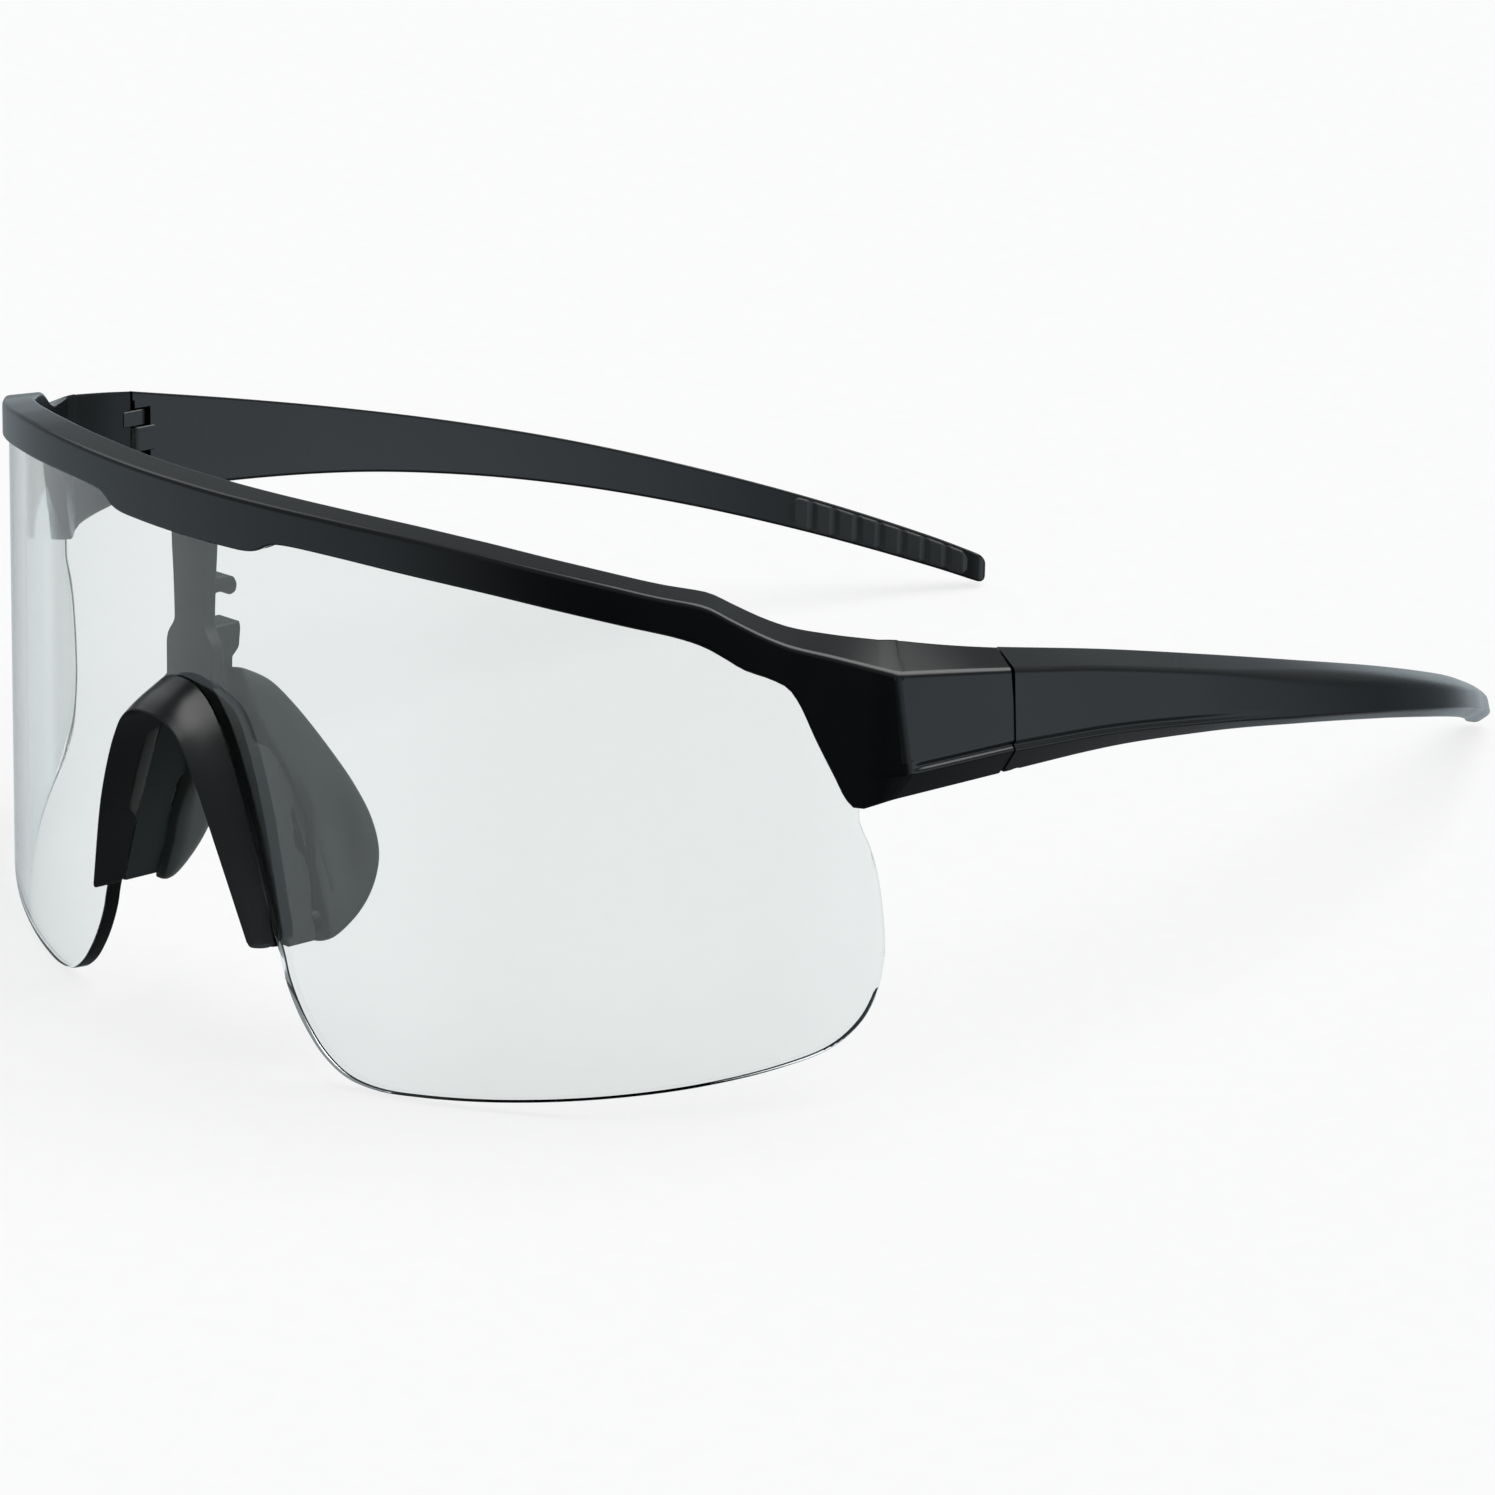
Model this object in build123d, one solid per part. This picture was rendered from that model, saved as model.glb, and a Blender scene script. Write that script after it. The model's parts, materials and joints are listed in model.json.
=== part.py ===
from build123d import *
import os
from math import cos, radians, sin, tan

# Wraparound shield sunglasses, millimetres, +Z up.
# The glasses are drawn upright first: the lens is a vertical curved sheet whose front
# stands at the origin, X is the wearer's left and Y runs back to the temple tips.
# At the end every piece is tipped and moved together, so that the glasses rest on
# z = 0 on the lens's two lobes and the temple tips, as they lie on a table.
# Plan angles are measured at the curve's centres: 0 is the middle of the lens.

os.makedirs("parts", exist_ok=True)

# ---- driving dimensions ----
LENS_T = 1.8                      # lens thickness
LENS_ARCS = [(94.5, 13.7), (82.5, 36.9), (62.5, 64.0)]   # radius, angle where the arc ends
LENS_HALF_WIDTH = 69.3
LENS_BOTTOM = -58.7
FLANGE_PROUD = 0.7                # brow front face stands this far in front of the lens
BROW_DEPTH = 3.6                  # brow, front face to back face
SLOT_GAP = 0.06                   # clearance between lens and frame slot
JOINT_X = 71.0                    # inner face of the temple at the hinge
JOINT_Y = 48.1                    # end face of the end-piece
SIDE_X = 75.2                     # outer face at the hinge
CREASE = (72.4, 35.0)             # end-piece corner, in plan
PIVOT = (72.3, 49.9)              # hinge axis, in plan
TEMPLE_TOP = -8.9
TEMPLE_BOTTOM = -21.1
KNUCKLE_R = 1.35
SCREW_R = 0.6
SCREW_HEAD_R = 1.05
SCREW_HEAD_T = 0.7
INSERT_R = 0.9
SNUG = 0.02                       # clearance round the screw and insert in the frame
PIN_GAP = 0.05                    # clearance between the screw and the temple's bore
HINGE_GAP = 0.2                   # clearance between knuckles, and round them
WALL_X = 73.85                    # inside of the temple's outer wall at the hinge
ARCH_FOOT = -46.0                 # height of the ends of the nose arch's legs
ARCH_LEAN = 17.0                  # of the legs, from upright
NOSE_OPENING = (-22.4, 12.3, 18.0)    # top, half width at the feet, lean
BRACKET_BACK = 6.5                # back edge of the bracket's legs
LIE_TILT = 5.06                   # forward tilt at rest on a table
FAR = 200.0                       # larger than the glasses


# ---- plan curve of the lens ----
def arc_centres():
    """Centre, radius, first and last angle of each plan arc on the left half."""
    arcs = []
    x, y = 0.0, LENS_ARCS[0][0]
    start = 0.0
    last_r = LENS_ARCS[0][0]
    for r, end in LENS_ARCS:
        x += (last_r - r) * sin(radians(start))
        y -= (last_r - r) * cos(radians(start))
        arcs.append((x, y, r, start, end))
        start, last_r = end, r
    return arcs


def plan_point(angle, offset=0.0):
    """Point where the lens's front has this plan angle, moved out by offset."""
    side = 1 if angle >= 0 else -1
    a = abs(angle)
    x, y, r = [(x, y, r) for x, y, r, start, end in arc_centres() if a >= start][-1]
    return (side * (x + (r + offset) * sin(radians(a))), y - (r + offset) * cos(radians(a)))


def plan_edges(offset, half_angle):
    """The offset lens curve, from the right end to the left end, as tangent arcs."""
    stops = [end for r, end in LENS_ARCS if end < half_angle]
    marks = [-half_angle] + [-s for s in reversed(stops)] + stops + [half_angle]
    edges = []
    for a, b in zip(marks[:-1], marks[1:]):
        edges.append(ThreePointArc(plan_point(a, offset), plan_point((a + b) / 2, offset),
                                   plan_point(b, offset)))
    return edges


def band(front, back, half_angle, low=-62.0, high=6.0):
    """Upright curved sheet between two offsets of the lens's front."""
    outer = plan_edges(front, half_angle)
    inner = plan_edges(back, half_angle)
    ends = []
    for a in (-half_angle, half_angle):
        ends.append(Line(plan_point(a, front), plan_point(a, back)))
    face = make_face(Wire(outer + inner + ends))
    return extrude(face.moved(Location((0, 0, low))), amount=high - low, dir=(0, 0, 1))


def front_prism(edges, front=-FAR, back=FAR):
    """Outline drawn in the front view (x, z), run from front to back along Y."""
    face = make_face(Wire(edges))
    return extrude(face.moved(Location((0, front, 0))), amount=back - front, dir=(0, 1, 0))


def front_view(points):
    return [Vector(x, 0, z) for x, z in points]


def mirrored(points):
    return [(-x, z) for x, z in reversed(points)]


def whole_line(half):
    """A left half starting at x = 0, with its mirror image before it."""
    return mirrored(half)[:-1] + half


def box_between(low, high):
    size = [b - a for a, b in zip(low, high)]
    middle = [(a + b) / 2 for a, b in zip(low, high)]
    return Pos(*middle) * Box(*size)


def upright(x, y, radius, low, high):
    return Pos(x, y, (low + high) / 2) * Cylinder(radius, high - low)


def both_sides(solid):
    return solid, solid.mirror(Plane.YZ)


# ---- nose arch: an upside-down V with a round top ----
def arch(top, foot_x, lean, foot=ARCH_FOOT):
    """Front-view edges of the arch's outline: legs that lean by an angle, joined by an arc."""
    s, c = sin(radians(lean)), cos(radians(lean))
    reach = c * foot_x + s * ARCH_FOOT
    r = (reach - s * top) / (1 - s)
    centre = top - r
    tx, tz = r * c, centre + r * s
    bx = foot_x + (ARCH_FOOT - foot) * tan(radians(lean))
    a, t, b = front_view([(-tx, tz), (0, top), (tx, tz)])
    left, right = front_view([(bx, foot), (-bx, foot)])
    return [ThreePointArc(a, t, b), Line(b, left), Line(left, right), Line(right, a)]


# ---- lens ----
def lens_outline(grow=0.0):
    """Front view of the lens; grow moves the edge that sits in the frame outwards."""
    top = [(0, 1.0 + grow), (22, 0.5 + grow), (45, -2.2 + grow), (57, -4.8 + grow)]
    shoulder = [(61.5, -7.4 + grow), (66.2 + grow, -11.0), (67.5 + grow, -24.0)]
    side = [(LENS_HALF_WIDTH - 0.3 + grow, -33.5), (LENS_HALF_WIDTH + grow, -39.8),
            (68.5, -45.8), (66.2, -50.0)]
    lobe = [(55.0, -54.8), (40.5, -57.6), (27.0, LENS_BOTTOM), (18.8, -54.6), (14.0, -44.0)]
    down = lobe[-1]
    edges = [Spline(front_view(whole_line(top)))]
    for half in (1, -1):
        run = [top[-1]] + shoulder + side + lobe
        flip = [(half * x, z) for x, z in run]
        edges.append(Spline(front_view(flip)))
    edges.append(Line(*front_view([down, (-down[0], down[1])])))
    return edges


def make_lens():
    cut = front_prism(arch(-20.0, 14.5, 19.5, foot=-62.0))
    return band(0.0, -LENS_T, 63.0) & front_prism(lens_outline()) - cut


# ---- frame front: brow and end-pieces in one moulding ----
def brow_outline():
    top = [(0, 2.4), (29, 1.8), (50, -0.9), (57.2, -2.5), (62.3, -5.5), (67.0, -7.6),
           (71.3, -9.0), (SIDE_X + 0.6, -10.5)]
    low_end = [(SIDE_X + 0.6, -21.2), (68.4, -23.9), (67.7, -23.6)]
    opening = [(67.7, -23.6), (64.3, -12.3), (62.6, -10.0), (57.9, -7.2), (38.6, -3.3),
               (22, -1.9), (15.2, -1.8)]
    step = [(15.2, -1.8), (11.0, -3.4)]
    edges = [Spline(front_view(whole_line(top)))]
    for half in (1, -1):
        def line(points):
            return front_view([(half * x, z) for x, z in points])
        edges.append(Line(*line([top[-1], low_end[0]])))
        edges.append(Line(*line(low_end[0:2])))
        edges.append(Line(*line(low_end[1:3])))
        edges.append(Line(*line(opening[0:2])))
        edges.append(Spline(line(opening[1:])))
        edges.append(Line(*line(step)))
    edges.append(Line(*front_view([(11.0, -3.4), (-11.0, -3.4)])))
    return edges


def end_piece_plan(side):
    """Plan of one end-piece, from the straightened brow face to the hinge."""
    a = plan_point(44.0, FLANGE_PROUD)
    mid = ((a[0] + CREASE[0]) / 2 + 0.3, (a[1] + CREASE[1]) / 2 - 0.3)
    back = plan_point(44.0, FLANGE_PROUD - BROW_DEPTH)
    wall = (66.0, 36.0)
    corners = [CREASE, (SIDE_X, JOINT_Y - 1.1), (WALL_X - HINGE_GAP, JOINT_Y - 1.1),
               (WALL_X - HINGE_GAP, JOINT_Y), (JOINT_X, JOINT_Y), wall, back, a]
    edges = [ThreePointArc((side * a[0], a[1]), (side * mid[0], mid[1]),
                           (side * CREASE[0], CREASE[1]))]
    for p, q in zip(corners[:-1], corners[1:]):
        edges.append(Line((side * p[0], p[1]), (side * q[0], q[1])))
    face = make_face(Wire(edges))
    return extrude(face.moved(Location((0, 0, -30))), amount=36, dir=(0, 0, 1))


KNUCKLES = [(-18.6, -16.5), (-13.1, -11.2)]      # lower and upper frame knuckles
TONGUE = (KNUCKLES[0][1] + HINGE_GAP, KNUCKLES[1][0] - HINGE_GAP)


def frame_knuckles():
    """Left fork: two knuckles on arms that come back from the end-piece."""
    x, y = PIVOT
    solids = []
    for low, high in KNUCKLES:
        arm = box_between((x - KNUCKLE_R, JOINT_Y - 0.5, low), (x + KNUCKLE_R, y, high))
        solids.append(upright(x, y, KNUCKLE_R, low, high) + arm)
    return solids


def screw_cuts():
    """Left hinge screw's space in the frame: shaft, head and threaded insert."""
    x, y = PIVOT
    low, high = KNUCKLES[0][0], KNUCKLES[1][1]
    ceiling = high - 0.3
    shaft = upright(x, y, SCREW_R + SNUG, low - 1, ceiling)
    head = upright(x, y, SCREW_HEAD_R + SNUG, low - 1, low + SCREW_HEAD_T + SNUG)
    insert = upright(x, y, INSERT_R + SNUG, KNUCKLES[1][0] - 1e-3, ceiling)
    return shaft + head + insert


def make_frame():
    outline = front_prism(brow_outline())
    body = band(FLANGE_PROUD, FLANGE_PROUD - BROW_DEPTH, 46.0)
    for side in (1, -1):
        body += end_piece_plan(side)
    body = body & outline
    slot = band(SLOT_GAP, -LENS_T - SLOT_GAP, 63.5) & front_prism(lens_outline(0.15))
    body -= slot
    # behind the lens's side edges the frame has no rear lip below the brow
    for side in (1, -1):
        window = box_between((55.0, 0.0, -30.0), (65.6, 60.0, -8.6))
        window &= band(-LENS_T, -12.0, 60.0)
        body -= window if side == 1 else window.mirror(Plane.YZ)
    for knuckle in frame_knuckles():
        for solid in both_sides(knuckle):
            body += solid
    for cut in both_sides(screw_cuts()):
        body -= cut
    return body


# ---- hinge hardware, left ----
def make_screw():
    x, y = PIVOT
    low, high = KNUCKLES[0][0], KNUCKLES[1][1]
    screw = upright(x, y, SCREW_R, low + 0.1, high - 0.4)
    head = upright(x, y, SCREW_HEAD_R, low + SNUG, low + SCREW_HEAD_T)
    drive = Pos(x, y, low + 0.2) * Box(1.5, 0.3, 0.4)
    return screw + head - drive


def make_insert():
    x, y = PIVOT
    low, high = KNUCKLES[1][0], KNUCKLES[1][1] - 0.35
    sleeve = upright(x, y, INSERT_R, low, high)
    return sleeve - upright(x, y, SCREW_R + SNUG, low - 1, high + 1)


# ---- temples ----
TEMPLE_LINE = [(JOINT_X, 49.2), (70.4, 73.0), (69.0, 97.1), (60.6, 128.0), (48.9, 149.0),
               (40.2, 161.2)]    # inner face in plan, hinge to tip
TEMPLE_THICK = (SIDE_X - JOINT_X, 3.0)    # at the hinge and at the tip
TIP_HEADING = 36.7                # plan direction of the tip, from straight back
GRIP_DEPTH = 0.9
GRIP_SPAN = (139.5, 158.0)        # y where the rubber inlay starts and ends
GRIP_RIBS = 8
RIB_HALF = 0.75                   # half a rib's width


def temple_curve(at_hinge, at_tip):
    """The temple's inner line moved outwards, by an amount that changes towards the tip."""
    points = []
    headings = [1.4, 0.9, 7.7, 23.6, 33.7, TIP_HEADING]
    start_y, end_y = TEMPLE_LINE[0][1], TEMPLE_LINE[-1][1]
    for (x, y), h in zip(TEMPLE_LINE, headings):
        share = (y - start_y) / (end_y - start_y)
        offset = at_hinge + (at_tip - at_hinge) * share
        points.append((x + offset * cos(radians(h)), y + offset * sin(radians(h))))
    start = (0, 1)
    end = (-sin(radians(TIP_HEADING)), cos(radians(TIP_HEADING)))
    return Spline(points, tangents=[start, end])


def temple_band(inner, outer):
    """Upright strip along the temple; each side is its offset at the hinge and at the tip."""
    a = temple_curve(*inner)
    b = temple_curve(*outer)
    ends = [Line(a @ 0, b @ 0), Line(a @ 1, b @ 1)]
    face = make_face(Wire([a, b] + ends))
    return extrude(face.moved(Location((0, 0, -52))), amount=56, dir=(0, 0, 1))


def side_prism(edges):
    face = make_face(Wire(edges))
    return extrude(face.moved(Location((20, 0, 0))), amount=70, dir=(1, 0, 0))


def side_view(points):
    return [Vector(0, y, z) for y, z in points]


def temple_profile(inset=0.0):
    """Side view: deep at the hinge, slim after mid-length, dropping to a round tip."""
    top = [(40.0, -7.2), (65.0, -12.0), (89.1, -17.4), (120.5, -25.6),
           (149.0, -35.6), (159.0, -39.9)]
    low = [(40.0, TEMPLE_BOTTOM), (65.0, -22.0), (89.1, -24.8), (120.5, -31.2), (149.0, -40.0),
           (157.5, -43.4)]
    top = [(y, z - inset) for y, z in top]
    low = [(y, z + inset) for y, z in low]
    nose = (161.0 - inset, -43.0)
    upper = Spline(side_view(top))
    lower = Spline(side_view(low))
    cap = ThreePointArc(*side_view([top[-1], nose, low[-1]]))
    return [upper, lower, cap, Line(*side_view([top[0], low[0]]))]


def hinge_clearance():
    """Space in the left temple for the frame's fork, through the whole fold."""
    x, y = PIVOT
    cut = None
    for low, high in KNUCKLES:
        bottom, top = low - HINGE_GAP, high + HINGE_GAP
        room = upright(x, y, KNUCKLE_R + HINGE_GAP, bottom, top)
        ahead = box_between((x, y - 6, bottom), (WALL_X, y, top))
        inboard = box_between((x - 6, y - 6, bottom), (x, y + KNUCKLE_R + HINGE_GAP, top))
        part = room + ahead + inboard
        cut = part if cut is None else cut + part
    # the end-piece's end face, clear of the temple's front inside the outer wall
    cut += box_between((x - 6, 40, -30), (WALL_X, y - 0.7, 0))
    return cut


def make_temple():
    x, y = PIVOT
    body = temple_band((0.0, 0.0), TEMPLE_THICK) & side_prism(temple_profile())
    wall = box_between((WALL_X, JOINT_Y - 0.8, TEMPLE_BOTTOM + 0.2),
                       (SIDE_X, 52.0, TEMPLE_TOP - 0.9))
    tongue = upright(x, y, KNUCKLE_R, TONGUE[0], TONGUE[1])
    tongue += box_between((x - KNUCKLE_R, y, TONGUE[0]), (x + KNUCKLE_R, y + 2, TONGUE[1]))
    body = body - hinge_clearance() + wall + tongue
    body -= upright(x, y, SCREW_R + PIN_GAP, TONGUE[0] - 1, TONGUE[1] + 1)
    body -= upright(x, y, SCREW_HEAD_R + 0.2, -30, KNUCKLES[0][0])
    recess = temple_band((-1.0, -1.0), (GRIP_DEPTH, GRIP_DEPTH)) & side_prism(temple_profile(0.7))
    recess &= box_between((20, GRIP_SPAN[0], -60), (90, GRIP_SPAN[1], 10))
    return body - recess


def make_grip():
    """Rubber inlay in the inner face near the tip, with low cross ribs."""
    bottom = GRIP_DEPTH - 0.04
    pad = temple_band((0.15, 0.15), (bottom, bottom)) & side_prism(temple_profile(0.76))
    start, end = GRIP_SPAN
    pad &= box_between((20, start + 0.05, -60), (90, end - 0.1, 10))
    ribs = temple_band((-0.3, -0.3), (0.3, 0.3)) & side_prism(temple_profile(1.0))
    first, last = start + 1.3, end - 1.3
    step = (last - first) / (GRIP_RIBS - 1)
    for n in range(GRIP_RIBS):
        at = first + n * step
        pad += ribs & box_between((20, at - RIB_HALF, -60), (90, at + RIB_HALF, 10))
    return pad


# ---- nose cover, bracket and pads ----
def make_cover():
    """Hood over the nose arch, in front of the lens; its sides narrow towards the ridge."""
    outer = make_face(Wire(arch(-19.0, 14.3, ARCH_LEAN)))
    hood = extrude(outer.moved(Location((0, 1.6, 0))), amount=6.3, dir=(0, -1, 0), taper=15.0)
    low = front_prism(arch(*NOSE_OPENING, foot=-60.0), -30, 30)
    behind = band(SLOT_GAP, -30, 60.0)
    return hood - low - behind


def make_bracket():
    """Arch behind the lens with a stem up into the brow, a hook and a clip block."""
    ring = front_prism(arch(-18.4, 15.6, ARCH_LEAN), -1.0, BRACKET_BACK)
    ring -= front_prism(arch(*NOSE_OPENING, foot=-60.0))
    ring -= band(30.0, -LENS_T - SLOT_GAP, 60.0)
    slope = side_prism([Line(*side_view(p)) for p in (
        [(4.2, -17.0), (BRACKET_BACK, -33.0)], [(BRACKET_BACK, -33.0), (20.0, -33.0)],
        [(20.0, -33.0), (20.0, -10.0)], [(20.0, -10.0), (4.2, -17.0)])])
    ring -= slope.moved(Location((-60, 0, 0)))
    stem_points = [(3.0, -4.6), (2.5, -12.5), (3.8, -15.5), (3.8, -20.4)]
    rim = whole_loop(stem_points)
    stem = front_prism(rim, -1.0, LENS_T + 1.9) - band(30.0, -LENS_T - SLOT_GAP, 60.0)
    hook = box_between((-1.2, LENS_T + 1.5, -10.2), (1.2, 7.0, -8.8))
    hook += Pos(0, 6.8, -10.1) * Rotation(0, 90, 0) * Cylinder(0.8, 2.4)
    block = box_between((-1.6, LENS_T + 1.5, -17.0), (1.6, 7.0, -13.9))
    neck = box_between((-1.3, LENS_T + 1.5, -20.0), (1.3, 5.4, -16.8))
    bracket = ring + stem + hook + block + neck
    for seat in both_sides(pad_plate(-0.3, -0.1, PAD_THICK + 0.1)):
        bracket -= seat
    return bracket


def whole_loop(half):
    """Closed front-view loop of straight edges from a left half and its mirror image."""
    points = front_view(half + [(-x, z) for x, z in reversed(half)])
    return [Line(p, q) for p, q in zip(points, points[1:] + points[:1])]


PAD_THICK = 2.6
PAD_AT = (12.6, 7.0, -38.0)       # where the left pad's front edge meets the leg
PAD_FLARE = 20.0                  # pads spread towards the face
PAD_CAVITY = (0.85, 1.75)         # room for the stiff core inside the soft pad


def pad_plane():
    back = Vector(sin(radians(PAD_FLARE)), cos(radians(PAD_FLARE)), 0)
    down = Vector(sin(radians(ARCH_LEAN)), 0, -cos(radians(ARCH_LEAN)))
    normal = back.cross(down).normalized()
    return Plane(origin=PAD_AT, x_dir=back, z_dir=normal)


def pad_leaf(shrink=0.0):
    """Leaf outline in the pad's plane: x towards the face, y down the nose."""
    k = 1 - shrink / 10
    edge = [(0.3, 7.6), (2.6, 7.9), (6.0, 5.2), (8.4, -0.8), (6.4, -8.2), (1.0, -16.6),
            (-3.4, -20.7), (-5.4, -19.4)]
    edge = [(2.0 + (x - 2.0) * k, -5.0 + (y + 5.0) * k) for x, y in edge]
    return [Spline(edge), Line(edge[-1], edge[0])]


def pad_plate(shrink, low, high):
    face = make_face(Wire(pad_leaf(shrink)))
    plane = pad_plane()
    placed = face.moved(plane.location)
    return extrude(placed.moved(Location(plane.z_dir * low)), amount=high - low, dir=plane.z_dir)


def make_pad():
    return pad_plate(0.0, 0.0, PAD_THICK) - pad_plate(4.9, *PAD_CAVITY)


def make_pad_core():
    """Stiff blade inside the soft pad."""
    low, high = PAD_CAVITY
    return pad_plate(5.0, low + 0.05, high - 0.05)


# ---- assembly ----
LEFT_PIECES = {
    "hinge_screw": make_screw,
    "hinge_insert": make_insert,
    "temple": make_temple,
    "temple_grip": make_grip,
    "nose_pad": make_pad,
    "nose_pad_core": make_pad_core,
}
MIDDLE_PIECES = {
    "frame_front": make_frame,
    "lens": make_lens,
    "nose_cover": make_cover,
    "nose_bracket": make_bracket,
}


def all_pieces():
    pieces = {name: make() for name, make in MIDDLE_PIECES.items()}
    for name, make in LEFT_PIECES.items():
        left, right = both_sides(make())
        pieces[name + "_left"] = left
        pieces[name + "_right"] = right
    return pieces


def lay_down(pieces):
    """Tip all pieces forward and put the lowest points on z = 0, centred in plan."""
    tipped = {name: Rotation(-LIE_TILT, 0, 0) * piece for name, piece in pieces.items()}
    boxes = [piece.bounding_box() for piece in tipped.values()]
    low_y = min(box.min.Y for box in boxes)
    high_y = max(box.max.Y for box in boxes)
    low_z = min(box.min.Z for box in boxes)
    shift = (0, -(low_y + high_y) / 2, -low_z)
    place = Pos(*shift) * Rotation(-LIE_TILT, 0, 0)
    pivot = (place * Pos(PIVOT[0], PIVOT[1], TONGUE[0])).position
    print("shift", shift, "left hinge point", pivot)
    return {name: place * piece for name, piece in pieces.items()}


for name, piece in lay_down(all_pieces()).items():
    export_step(piece, "parts/" + name + ".step")
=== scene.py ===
import json
from math import asin, atan, cos, pi, radians, sin, sqrt, tan

import bmesh
import bpy
from mathutils import Matrix, Vector


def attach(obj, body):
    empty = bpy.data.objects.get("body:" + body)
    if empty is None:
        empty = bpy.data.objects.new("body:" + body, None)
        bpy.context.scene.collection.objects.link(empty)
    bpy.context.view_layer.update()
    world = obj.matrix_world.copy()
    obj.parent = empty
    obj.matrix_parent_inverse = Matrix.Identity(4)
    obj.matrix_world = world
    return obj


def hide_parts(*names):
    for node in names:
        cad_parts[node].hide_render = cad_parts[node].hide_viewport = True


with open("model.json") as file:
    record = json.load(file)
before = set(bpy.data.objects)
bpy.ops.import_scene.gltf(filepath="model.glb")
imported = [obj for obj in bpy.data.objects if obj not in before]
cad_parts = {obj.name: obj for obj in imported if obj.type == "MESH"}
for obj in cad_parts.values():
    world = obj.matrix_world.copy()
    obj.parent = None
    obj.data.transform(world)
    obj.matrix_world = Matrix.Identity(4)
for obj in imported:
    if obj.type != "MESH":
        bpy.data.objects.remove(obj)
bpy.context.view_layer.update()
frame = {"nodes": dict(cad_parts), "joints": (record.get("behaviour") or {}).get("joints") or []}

# Wraparound shield sunglasses. The pieces are drawn upright in millimetres, as in part.py:
# the front of the lens stands at the origin, X is the wearer's left, Y runs back to the
# temple tips and Z is up. place() tips them onto the table and turns them into metres.
# Every left piece is drawn once and mirrored for the right.

MM = 0.001
LIE_TILT = radians(5.06)             # forward tilt on the table
HINGE = Vector((72.3, 49.9, -14.8))  # left fold joint, upright, in mm

# ---- lens curve, as in part.py ----
LENS_ARCS = [(94.5, 13.7), (82.5, 36.9), (62.5, 64.0)]   # radius, angle where the arc ends
LENS_T = 1.8
FLANGE_PROUD = 0.7                   # brow front face, in front of the lens
SLOT_GAP = 0.06
STRAIGHT_FROM = 44.0                 # plan angle where the brow face runs straight on
STRAIGHT_BEND = 0.0029

scene = bpy.context.scene


# ---- from upright millimetres to the row frame ----
def tip(p):
    x, y, z = p
    c, s = cos(LIE_TILT), sin(LIE_TILT)
    return Vector((x, y * c + z * s, z * c - y * s))


def hinge_in_frame():
    joint = [j for j in frame["joints"] if j["name"] == "temple_left_fold"][0]
    return Vector(joint["pos_m"])


SHIFT = hinge_in_frame() - tip(HINGE) * MM


def place(p):
    return tip(p) * MM + SHIFT


# ---- curves ----
def graph(points):
    """Smooth z(x) through the points that never swings past them."""
    xs = [p[0] for p in points]
    ys = [p[1] for p in points]
    rise = [(ys[i + 1] - ys[i]) / (xs[i + 1] - xs[i]) for i in range(len(xs) - 1)]
    slopes = [rise[0]]
    for a, b in zip(rise[:-1], rise[1:]):
        slopes.append(0.0 if a * b <= 0 else 2 * a * b / (a + b))
    slopes.append(rise[-1])

    def value(x):
        x = min(max(x, xs[0]), xs[-1])
        i = max(n for n in range(len(xs) - 1) if xs[n] <= x or n == 0)
        width = xs[i + 1] - xs[i]
        t = (x - xs[i]) / width
        a, b = slopes[i] * width, slopes[i + 1] * width
        return (ys[i] * (2 * t ** 3 - 3 * t * t + 1) + a * (t ** 3 - 2 * t * t + t)
                + ys[i + 1] * (3 * t * t - 2 * t ** 3) + b * (t ** 3 - t * t))
    return value


def through(points, steps=12, closed=False):
    """Smooth curve through points of any dimension."""
    points = [Vector(p) for p in points]
    n = len(points)
    out = []
    spans = n if closed else n - 1
    for i in range(spans):
        if closed:
            p0, p1, p2, p3 = [points[(i + k) % n] for k in (-1, 0, 1, 2)]
        else:
            p1, p2 = points[i], points[i + 1]
            p0 = points[i - 1] if i else p1 * 2 - p2
            p3 = points[i + 2] if i + 2 < n else p2 * 2 - p1
        d0 = max(sqrt((p1 - p0).length), 1e-4)
        d1 = max(sqrt((p2 - p1).length), 1e-4)
        d2 = max(sqrt((p3 - p2).length), 1e-4)
        m1 = ((p1 - p0) / d0 - (p2 - p0) / (d0 + d1) + (p2 - p1) / d1) * d1
        m2 = ((p2 - p1) / d1 - (p3 - p1) / (d1 + d2) + (p3 - p2) / d2) * d1
        for k in range(steps):
            t = k / steps
            out.append(p1 * (2 * t ** 3 - 3 * t * t + 1) + m1 * (t ** 3 - 2 * t * t + t)
                       + p2 * (3 * t * t - 2 * t ** 3) + m2 * (t ** 3 - t * t))
    if not closed:
        out.append(points[-1].copy())
    return out


def from_middle(points, steps=12):
    """Left half of a smooth curve that crosses the middle plane squarely."""
    points = [Vector(p) for p in points]
    other = points[1].copy()
    other.x = -other.x
    return through([other] + points, steps)[steps:]


def walk(points, gap):
    """The same polyline with points at equal steps of about gap."""
    lengths = [0.0]
    for a, b in zip(points[:-1], points[1:]):
        lengths.append(lengths[-1] + (b - a).length)
    count = max(2, round(lengths[-1] / gap))
    out = []
    i = 0
    for n in range(count + 1):
        at = lengths[-1] * n / count
        while i < len(points) - 2 and lengths[i + 1] < at:
            i += 1
        span = max(lengths[i + 1] - lengths[i], 1e-9)
        out.append(points[i].lerp(points[i + 1], (at - lengths[i]) / span))
    return out


def mix(a, b, t):
    return a + (b - a) * t


def ease(t):
    t = min(max(t, 0.0), 1.0)
    return t * t * (3 - 2 * t)


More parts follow.
